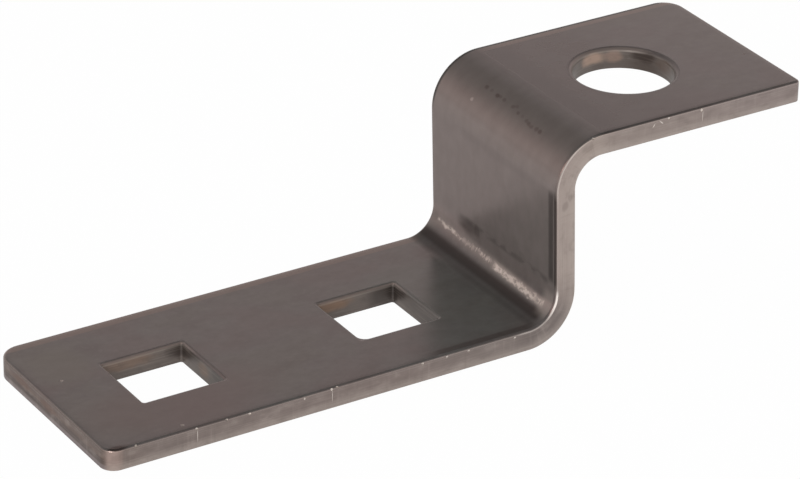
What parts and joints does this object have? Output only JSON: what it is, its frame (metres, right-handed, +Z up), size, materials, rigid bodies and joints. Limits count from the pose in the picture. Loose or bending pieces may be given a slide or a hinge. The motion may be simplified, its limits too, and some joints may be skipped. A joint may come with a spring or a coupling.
{
  "type": "connection angle bracket",
  "caption": "Stepped connection bracket folded from flat steel: a long leg with square holes, an upright web and a parallel raised leg with a round hole.",
  "frame": {"origin": "middle of the bracket's outline on the ground plane, which is the underside of the long leg", "axes": "+X from the long leg's free end towards the raised leg's free end, +Y from the front edge to the back edge, +Z up, from the long leg to the raised leg"},
  "size_m": [0.1042, 0.03, 0.0289],
  "materials": {
    "bare_steel": "bare rolled mild steel, dark brown-grey, lightly glossy, with paler cut edges"
  },
  "bodies": {
    "root": {"bracket": "bare_steel"}
  },
  "joints": []
}
